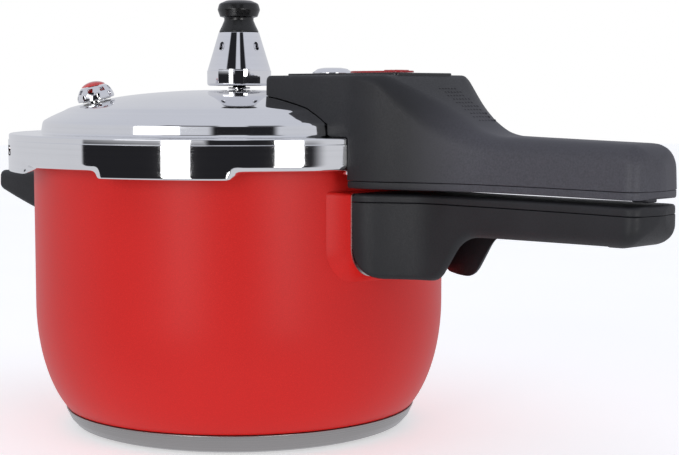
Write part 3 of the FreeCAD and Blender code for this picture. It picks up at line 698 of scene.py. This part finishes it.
def build_pot_handle():
    plan = end_plan(POT_PLAN, GRIP_END)
    base = rounded_outline([(106.2, 114.8, 0), (106.2, 81.5, 12.0), (140.5, 81.5, 8.0), (153.5, 101.0, 14.0),
                            (GRIP_END, 102.2, 12.0), (GRIP_END, 114.8, 0)], 9)[1:-1]
    rows = []
    front = [106.22, 106.4, 106.8, 107.4, 108.2, 109.2, 110.6, 112.2, 114.0, 116.0, 118.0]
    for x in front + stations_for(120.0, GRIP_END, 1.6):
        w = lookup(plan, x)
        low = lookup(base, x)
        soft = 2.4 + 3.0 * smoothstep((x - 140) / 25.0)
        rows.append(section_ring(x, w, low, 114.75, soft, 0.35, 0.0))
    body = grid("pot_handle_shell", rows, 36, closed_rows=False, caps=True)
    inner = []
    for x in [113.0 + 3.0 * k for k in range(39)]:
        w = lookup(plan, x) - 3.0
        inner.append(section_ring(x, w, 70.0, 111.9, 0.2, 1.6))
    hollow = grid("cutter", inner, 36, closed_rows=False, caps=True)
    carve(body, hollow, angle=36)
    boss = turned_to(lathe("cutter", [(0, 0), (6.0, 0), (6.0, 24.0), (0, 24.0)], 48), (1, 0, 0),
                     (110, 0, 100))
    carve(body, boss, operation="UNION", angle=36)
    bore = turned_to(lathe("cutter", [(0, 0), (2.2, 0), (2.2, 60), (0, 60)], 32), (1, 0, 0), (100, 0, 100))
    sink = turned_to(lathe("cutter", [(0, 0), (4.6, 0), (4.6, 12), (0, 12)], 40), (1, 0, 0), (130, 0, 100))
    carve(body, bore, sink, angle=36)
    stand_for(body, "pot_handle")
    top_rows = []
    high = rounded_outline([(106.2, 110, 0), (106.2, 118.7, 1.0), (GRIP_END, 118.7, 2.6),
                            (GRIP_END, 110, 0)], 6)[1:-1]
    for x in [106.22, 106.5, 107.0, 108.0] + stations_for(110.0, GRIP_END, 1.8):
        top_rows.append(section_ring(x, lookup(plan, x) - 0.12, 115.0, lookup(high, x), 0.35, 1.8))
    stand_for(grid("pot_handle_cover", top_rows, 36, closed_rows=False, caps=True), "pot_handle_top")


def build_helper():
    low = rounded_outline([(92, 120, 0), (92, 99.4, 0), (116, 101.3, 10.0), (148.0, 111.3, 4.0),
                           (148.0, 120, 0)], 8)[1:-1]
    high = rounded_outline([(92, 100, 0), (92, 120.5, 0), (148.0, 120.5, 3.0), (148.0, 100, 0)], 6)[1:-1]
    rows = []
    along = [92.0 + 1.8 * k for k in range(28)]
    along += [142.8 + 5.0 * math.sin(math.pi / 2 * k / 12) for k in range(13)]
    for x in along:
        w = 41.2 + 2.5 * smoothstep((x - 92) / 45.0)
        if x > 142.8:
            w = w - 5.0 + math.sqrt(max(0.0, 25.0 - (x - 142.8) ** 2))
        rows.append(section_ring(-x, w, lookup(low, x), lookup(high, x), 3.0, 3.2, 0.4))
    body = grid("helper_grip", rows, 36, closed_rows=False, caps=True)
    cuts = [rod(POT_R + 0.3, 80, 140, segs=240), block(-124.2, -100, -12.2, 12.2, 108.0, 110.8),
            rod(2.2, 90, 118.3, -118, 0), rod(4.6, 90, 105.0, -118, 0)]
    pocket = block(-112, -80, -22.3, 22.3, 101.2, 116.8)
    carve(pocket, rod(103.3, 90, 130, segs=200), operation="INTERSECT")
    carve(body, *cuts, pocket, angle=36)
    stand_for(body, "helper_handle")


# ------------------------------------------------------------ lid
def lid_upper():
    """Outer line of the lid from the vent hole to the top of the skirt."""
    line = [(max(r, 3.6), z) for r, z in DOME_LINE if r > 3.6]
    line = [(3.6, 163.58)] + line[:-1]
    edge = rounded_outline([(91.5, 150.7, 0), (95.4, 148.6, 2.5), (96.4, 143.0, 1.3), (99.0, 142.72, 3.0),
                            (SKIRT_R - 0.35, 142.8, 0.9), (SKIRT_R - 0.35, 139.95, 0.2),
                            (SKIRT_R, 139.8, 0.15), (SKIRT_R, 138.0, 0)], 6)
    return line + edge[1:-1]


def offset_in(points, t):
    out = []
    for i, p in enumerate(points):
        a = Vector(points[max(i - 1, 0)])
        b = Vector(points[min(i + 1, len(points) - 1)])
        d = (b - a).normalized()
        out.append((p[0] + d.y * t, p[1] - d.x * t))
    return out


UPPER = lid_upper()
INNER_UPPER = offset_in(UPPER, LID_T)
TAB = resample(rounded_outline([(SKIRT_R, 139.0, 0), (SKIRT_R, 125.1, 0.5), (SKIRT_R - LID_T, 125.1, 0.5),
                                (SKIRT_R - LID_T, 139.0, 0)], 5), 44)
LUG = resample(rounded_outline([(SKIRT_R, 139.0, 0), (SKIRT_R, 128.1, 3.0), (104.4, 128.1, 0.5),
                                (104.4, 129.4, 0.5), (SKIRT_R - LID_T, 129.4, 1.8),
                                (SKIRT_R - LID_T, 139.0, 0)], 7), 44)


def lid_section(deg):
    share = lug_share(deg, 12.9, 4.6)
    lower = [tuple(p + (q - p) * share for p, q in zip(a, b)) for a, b in zip(TAB, LUG)]
    return UPPER + lower + list(reversed(INNER_UPPER))


def valve_matrix():
    radius = 70.0
    low = lookup(DOME_LINE, radius + 4)
    high = lookup(DOME_LINE, radius - 4)
    tilt = Matrix.Rotation(math.atan2(high - low, 8.0), 4, "Y")
    shift = Matrix.Translation(Vector((radius, 0, lookup(DOME_LINE, radius) + 0.35)) * MM)
    return Matrix.Rotation(math.radians(VALVE_DEG), 4, "Z") @ shift @ tilt


def build_lid():
    shell = lathe("lid_dome", lid_section, 480, angle=40)
    window = plate("cutter", rectangle(-8.0, 8.0, -2.4, 2.4, 2.0, 6), [(0, -6), (0, 6)])
    out = Matrix.Rotation(math.radians(VALVE_DEG), 4, "Z")
    place(window, out @ Matrix.Translation(Vector((SKIRT_R, 0, 135.0)) * MM) @ FACE_OUT)
    seat = place(rod(5.2, -12, 12), valve_matrix())
    carve(shell, window, seat, rod(3.4, 130, 190, FLOAT_X, 0), angle=40)
    stand_for(shell, "lid_shell")

    gasket = rounded_outline([(98.9, 141.2, 0.6), (98.9, 133.6, 0.6), (104.5, 133.6, 0.8),
                              (104.5, 136.0, 0.6),
                              (110.2, 136.0, 1.0), (110.2, 139.4, 1.0), (108.6, 141.2, 0.8)], 5)
    stand_for(lathe("lid_gasket", gasket, 240), "gasket")
    pipe = rounded_outline([(1.5, 149.0, 0.2), (3.4, 149.0, 0.3), (3.4, 163.9, 0), (5.4, 163.9, 0.3),
                            (5.4, 164.9, 0.4), (3.2, 164.9, 0.3), (3.2, 176.0, 0.6), (1.5, 176.0, 0.3)], 5)
    stand_for(lathe("vent_tube", pipe, 72), "vent_pipe")


def dome_section(r, low, high, steps=12):
    """Line of a dome section from its foot to its cut-off top."""
    heights = [low + (high - low) * k / steps for k in range(steps + 1)]
    return [(math.sqrt(r * r - (z - 0.5) ** 2), z) for z in heights]


def build_valve():
    where = valve_matrix()
    base = rounded_outline([(2.2, -7.5, 0), (4.5, -7.5, 0.4), (4.5, 0.6, 0), (8.7, 0.6, 0.2), (8.7, 1.1, 0.2),
                            (5.6, 1.1, 0.2), (5.6, 3.6, 0.2), (2.2, 3.6, 0.2)], 5)
    stand_for(place(lathe("safety_collar", base, 96), where), "valve_base")
    skin = dome_section(8.9, 1.15, 7.0) + dome_section(7.8, 1.15, 6.2)[::-1]
    cover = lathe("safety_cover", skin, 160)
    for half, tall, z, start in ((1.05, 0.9, 2.7, 0.0), (1.25, 0.9, 5.3, 22.5)):
        for k in range(8):
            hole = plate("cutter", rectangle(-half, half, -tall, tall, 0.3, 3), [(0, 4), (0, 12)])
            place(hole, Matrix.Translation(Vector((0, 0, z)) * MM) @ FACE_OUT)
            place(hole, Matrix.Rotation(math.radians(45 * k + start), 4, "Z"))
            carve(cover, hole)
    stand_for(place(cover, where), "valve_cover")
    core = rounded_outline([(0, -6.8, 0), (1.9, -6.8, 0.3), (1.9, 3.8, 0), (4.3, 3.8, 0.3), (4.3, 4.8, 0.3),
                            (2.6, 5.4, 0.2), (2.6, 7.3, 0), (5.65, 7.3, 0.12)], 6)[:-7]
    core += [(5.65, 7.3), (5.72, 7.4), (5.35, 7.75), (4.7, 8.22), (3.9, 8.62), (3.0, 8.95), (2.0, 9.2),
             (1.0, 9.34), (0, 9.38)]
    stand_for(place(lathe("safety_plug", core, 96), where), "valve_core")


def build_weight():
    outer = rounded_outline([(9.0, 165.5, 0.4), (15.7, 165.5, 1.3), (15.7, 172.9, 0.25), (15.35, 173.1, 0.15),
                             (15.35, 173.5, 0.15), (9.9, 191.55, 0.3), (1.7, 191.55, 0), (1.7, 187.0, 0),
                             (5.2, 187.0, 0.3), (5.2, 176.5, 1.5), (9.0, 171.0, 1.5)], 6)
    body = lathe("weight_cone", outer, 192)
    for k in range(4):
        slot = plate("cutter", rectangle(-1.35, 1.35, -2.1, 2.1, 1.34, 8), [(0, 0), (0, 20)])
        turn = Matrix.Rotation(math.radians(3.0 + 90.0 * k), 4, "Z")
        place(slot, turn @ Matrix.Translation(Vector((4.0, 0, 184.8)) * MM) @ FACE_OUT)
        carve(body, slot)
    stand_for(body, "weight_body")
    for k in range(4):
        ring = rectangle(-1.75, 1.75, -2.5, 2.5, 1.74)
        hole = rectangle(-1.3, 1.3, -2.05, 2.05, 1.29)
        slope = (15.35 - 9.9) / (191.55 - 173.5)

        def on_cone(p, lift):
            z = 184.8 + p[1]
            r = 15.35 - slope * (z - 173.5) + lift
            return (math.sqrt(max(0.0, r * r - p[0] ** 2)), p[0], z)

        rim = [[on_cone(p, -0.3) for p in ring], [on_cone(p, 0.14) for p in ring],
               [on_cone(p, 0.14) for p in hole], [on_cone(p, -1.2) for p in hole]]
        eyelet = grid(f"weight_eyelet_{k + 1}", rim)
        place(eyelet, Matrix.Rotation(math.radians(3.0 + 90.0 * k), 4, "Z"))
        belongs(eyelet, "weight", "chrome_trim")
    cap = [(9.6, 191.7)]
    cap += rounded_outline([(0, 191.7, 0), (9.85, 191.7, 0.35), (8.3, 194.8, 6.0), (7.2, 197.4, 1.2),
                            (7.2, 198.7, 0.5), (9.2, 199.3, 0.5), (10.4, 202.6, 1.4), (9.6, 205.6, 1.8),
                            (6.1, 207.1, 2.2), (0, 207.25, 0)], 7)[1:]
    stand_for(lathe("weight_knob", cap + [(0, 191.7)], 144), "weight_cap")


build_pot()
build_bracket()
build_pot_handle()
build_helper()
build_lid()
build_valve()
build_lid_handle()
build_grip_dots()
build_top_trim()
build_weight()

for name, node in NODES.items():
    if not node.hide_render:
        material = SLOT_MATERIAL[SLOT_OF[name]]
        if node.material_slots:
            for entry in node.material_slots:
                entry.material = material
        else:
            node.data.materials.append(material)


# ------------------------------------------------------------ camera, floor, light
PHI = math.radians(42.0)
DISTANCE = 774.0
HEIGHT = 163.0
PITCH = math.radians(5.0)
YAW = math.radians(3.66)

camera = bpy.data.objects.new("camera", bpy.data.cameras.new("camera"))
SCENE.collection.objects.link(camera)
turn = Matrix.Rotation(math.pi / 2 - PHI, 3, "Z")
forward = turn @ Vector((math.sin(YAW) * math.cos(PITCH), math.cos(YAW) * math.cos(PITCH), -math.sin(PITCH)))
right = turn @ Vector((math.cos(YAW), -math.sin(YAW), 0))
up = right.cross(forward)
pose = Matrix((right, up, -forward)).transposed().to_4x4()
pose.translation = turn @ (Vector((0, -DISTANCE, HEIGHT)) * MM)
camera.matrix_world = pose
camera.data.sensor_width = 36.0
camera.data.lens = 82.76
camera.data.clip_start = 0.01
camera.data.clip_end = 50.0
SCENE.camera = camera


def floor_material():
    k = Mat("studio_floor", Roughness=0.7, Specular_IOR_Level=0.2)
    pale = k.ramp(k.noise(6.0, 2.0), (0.3, (0.88, 0.88, 0.88)), (0.7, (0.90, 0.90, 0.90)))
    k.link(pale, k.b.inputs["Base Color"])
    k.b.inputs["Emission Color"].default_value = (1.0, 1.0, 1.0, 1.0)
    k.b.inputs["Emission Strength"].default_value = 0.42
    return k.m


def toward_camera(x, y, z):
    """Scene point in metres from one measured with the camera on the -Y side."""
    p = turn @ Vector((x, y, 0))
    return p.x, p.y, z


mesh = bpy.data.meshes.new("studio_floor")
corners = ((-4, -0.5), (4, -0.5), (4, 4), (-4, 4))
mesh.from_pydata([toward_camera(x, y, -0.0002) for x, y in corners], [], [(0, 1, 2, 3)])
floor = bpy.data.objects.new("studio_floor", mesh)
SCENE.collection.objects.link(floor)
floor.data.materials.append(floor_material())
floor.visible_glossy = False


def soft_box(name, azimuth, distance, width, low, high, power):
    """Upright soft box; azimuth is measured from the camera direction, positive to its right."""
    light = bpy.data.lights.new(name, "AREA")
    light.shape = "RECTANGLE"
    light.size = width
    light.size_y = high - low
    light.energy = power
    obj = bpy.data.objects.new(name, light)
    SCENE.collection.objects.link(obj)
    a = math.radians(azimuth) - PHI
    spot = Vector((distance * math.cos(a), distance * math.sin(a), (low + high) / 2))
    obj.location = spot
    obj.rotation_mode = "QUATERNION"
    obj.rotation_quaternion = (Vector((0, 0, spot.z)) - spot).to_track_quat("-Z", "Y")
    return obj


soft_box("soft_left", -29.4, 1.5, 0.35, -0.45, 0.70, 6.0)
soft_box("soft_right", 22.8, 1.5, 0.35, -0.45, 0.52, 5.3)
soft_box("soft_high", -48.0, 1.5, 0.75, 0.52, 0.92, 1.4)


def studio_world():
    """White sheet overhead and behind, dark room low down in front, white behind the object."""
    world = bpy.data.worlds.new("studio")
    SCENE.world = world
    world.use_nodes = True
    tree = world.node_tree

    def add(kind, **props):
        node = tree.nodes.new(kind)
        for key, value in props.items():
            setattr(node, key, value)
        return node

    def step(value, start, stop, low, high):
        node = add("ShaderNodeMapRange", interpolation_type="SMOOTHSTEP")
        for key, number in (("From Min", start), ("From Max", stop), ("To Min", low), ("To Max", high)):
            node.inputs[key].default_value = number
        tree.links.new(value, node.inputs["Value"])
        return node.outputs["Result"]

    def math_node(operation, a, b):
        node = add("ShaderNodeMath", operation=operation)
        tree.links.new(a, node.inputs[0])
        tree.links.new(b, node.inputs[1])
        return node.outputs[0]

    def product(*parts):
        out = parts[0]
        for part in parts[1:]:
            out = math_node("MULTIPLY", out, part)
        return out

    spin = add("ShaderNodeVectorRotate", rotation_type="Z_AXIS")
    spin.inputs["Angle"].default_value = PHI
    tree.links.new(add("ShaderNodeTexCoord").outputs["Generated"], spin.inputs["Vector"])
    parts = add("ShaderNodeSeparateXYZ")
    tree.links.new(spin.outputs[0], parts.inputs[0])
    azimuth = math_node("ARCTAN2", parts.outputs[1], parts.outputs[0])
    height = parts.outputs[2]
    d = math.radians
    low_room = product(step(azimuth, d(-82), d(-80), 0, 1), step(azimuth, d(34), d(43), 1, 0),
                       step(height, 0.02, 0.12, 1, 0), step(height, -0.55, -0.40, 0, 1))
    high_room = product(step(azimuth, d(-19), d(-14), 0, 1), step(azimuth, d(19), d(24), 1, 0),
                        step(height, 0.45, 0.47, 1, 0), step(height, -0.55, -0.40, 0, 1))
    left_flag = product(step(azimuth, d(-54), d(-48), 0, 1), step(azimuth, d(-16), d(-11), 1, 0),
                        step(height, 0.48, 0.50, 0, 1), step(height, 0.66, 0.74, 1, 0))
    right_flag = product(step(azimuth, d(3), d(7), 0, 1), step(azimuth, d(24), d(30), 1, 0),
                         step(height, 0.48, 0.50, 0, 1), step(height, 0.66, 0.74, 1, 0))
    dark = math_node("MAXIMUM", low_room, high_room)
    dark = math_node("MAXIMUM", dark, math_node("MAXIMUM", left_flag, right_flag))
    sheet = add("ShaderNodeMix", data_type="RGBA")
    sheet.inputs[6].default_value = (0.66, 0.67, 0.71, 1.0)
    sheet.inputs[7].default_value = (0.62, 0.64, 0.71, 1.0)
    tree.links.new(step(height, 0.0, 0.8, 0, 1), sheet.inputs[0])
    room = add("ShaderNodeMix", data_type="RGBA")
    room.inputs[7].default_value = (0.018, 0.018, 0.021, 1.0)
    tree.links.new(dark, room.inputs[0])
    tree.links.new(sheet.outputs[2], room.inputs[6])
    seen = add("ShaderNodeMix", data_type="RGBA")
    seen.inputs[7].default_value = (1.0, 1.0, 1.0, 1.0)
    tree.links.new(add("ShaderNodeLightPath").outputs["Is Camera Ray"], seen.inputs[0])
    tree.links.new(room.outputs[2], seen.inputs[6])
    tree.links.new(seen.outputs[2], tree.nodes["Background"].inputs["Color"])


studio_world()
SCENE.view_settings.view_transform = "Standard"

bpy.context.view_layer.update()
